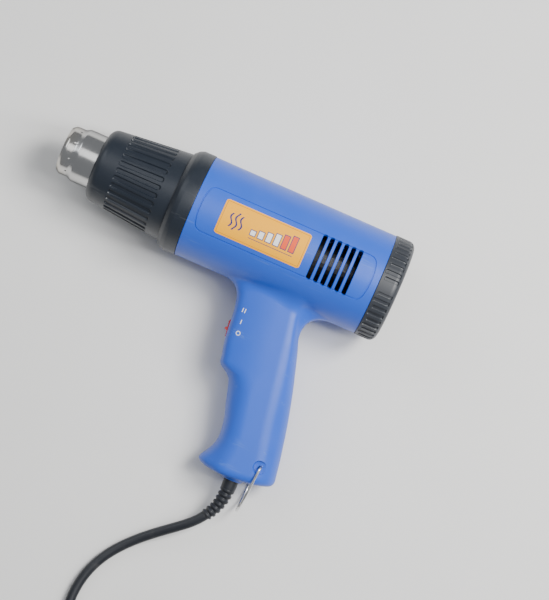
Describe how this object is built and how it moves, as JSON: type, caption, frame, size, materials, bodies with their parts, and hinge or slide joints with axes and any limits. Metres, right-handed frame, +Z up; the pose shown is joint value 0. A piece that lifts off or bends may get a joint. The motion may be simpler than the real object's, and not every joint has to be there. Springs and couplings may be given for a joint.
{
  "type": "heat gun",
  "caption": "Pistol-grip electric heat gun with a steel nozzle in a ribbed guard, slide switch, fan, heater, hanging bail and mains cord.",
  "frame": {"origin": "centre of the base of the bounding box of the gun as it lies on its right side, without the free cord, coil and plug", "axes": "+X runs along the barrel from the nozzle to the rear cap, +Y from the grip to the barrel, +Z up from the floor the gun lies on"},
  "size_m": [0.248, 0.4042, 0.0738],
  "materials": {
    "blue_plastic": "fine satin moulding",
    "black_plastic": "satin moulding",
    "label_film": "printed film",
    "red_plastic": "smooth moulding",
    "screw_steel": "zinc-plated",
    "nozzle_steel": "polished stainless steel",
    "bail_wire": "bright wire",
    "mica": "pressed mica",
    "nichrome": "oxidised wire",
    "brass": "plain",
    "ferrite": "sintered",
    "board": "circuit board",
    "rubber": "matt",
    "tie": "plain strap",
    "lead_live": "wire sleeve",
    "lead_neutral": "wire sleeve",
    "lead_low": "wire sleeve",
    "lead_high": "wire sleeve"
  },
  "bodies": {
    "gun": {"left_housing": "blue_plastic", "right_housing": "blue_plastic", "label_left": "label_film", "label_right": "label_film", "rear_cap": "black_plastic", "front_collar": "black_plastic", "front_guard": "black_plastic", "air_duct": "black_plastic", "motor_mount": "black_plastic", "motor_end_bell": "black_plastic", "switch_body": "black_plastic", "cord_clamp": "black_plastic", "diode_1": "black_plastic", "diode_2": "black_plastic", "diode_3": "black_plastic", "diode_4": "black_plastic", "screw_rear_top": "screw_steel", "screw_rear_bottom": "screw_steel", "screw_front_top": "screw_steel", "screw_front_bottom": "screw_steel", "screw_grip_middle": "screw_steel", "screw_grip_foot": "screw_steel", "clamp_screw_1": "screw_steel", "clamp_screw_2": "screw_steel", "nozzle": "nozzle_steel", "nozzle_flange": "nozzle_steel", "intake_screen": "nozzle_steel", "motor_can": "nozzle_steel", "thermal_cutout": "nozzle_steel", "mica_sleeve": "mica", "mica_plate_upright": "mica", "mica_plate_level": "mica", "heater_coil": "nichrome", "heater_terminal_1": "brass", "heater_terminal_2": "brass", "switch_terminal_1": "brass", "switch_terminal_2": "brass", "switch_terminal_3": "brass", "plug_blade_1": "brass", "plug_blade_2": "brass", "motor_magnet_left": "ferrite", "motor_magnet_right": "ferrite", "rectifier_board": "board", "strain_relief": "rubber", "cord_tail": "rubber", "cord": "rubber", "cord_coil": "rubber", "cord_end": "rubber", "plug_body": "rubber", "coil_tie": "tie", "lead_live": "lead_live", "lead_neutral": "lead_neutral", "lead_low": "lead_low", "lead_high": "lead_high"},
    "fan": {"fan": "black_plastic", "motor_rotor": "nozzle_steel"},
    "slider": {"switch_slider": "red_plastic"},
    "bail": {"hanging_bail": "bail_wire"}
  },
  "joints": [
    {"name": "fan_spin", "type": "hinge", "parent": "gun", "child": "fan", "pos_m": [0.043, 0.07806, 0.0369], "axis": [1, 0, 0], "continuous": true},
    {"name": "switch_slide", "type": "slide", "parent": "gun", "child": "slider", "axis": [-0.1686, 0.9794, 0.1111], "range_m": [0, 0.016]},
    {"name": "bail_swing", "type": "hinge", "parent": "gun", "child": "bail", "pos_m": [0.087, -0.06731, 0.02041], "axis": [0, -0.1127, 0.9936], "range_deg": [-8, 150]}
  ]
}
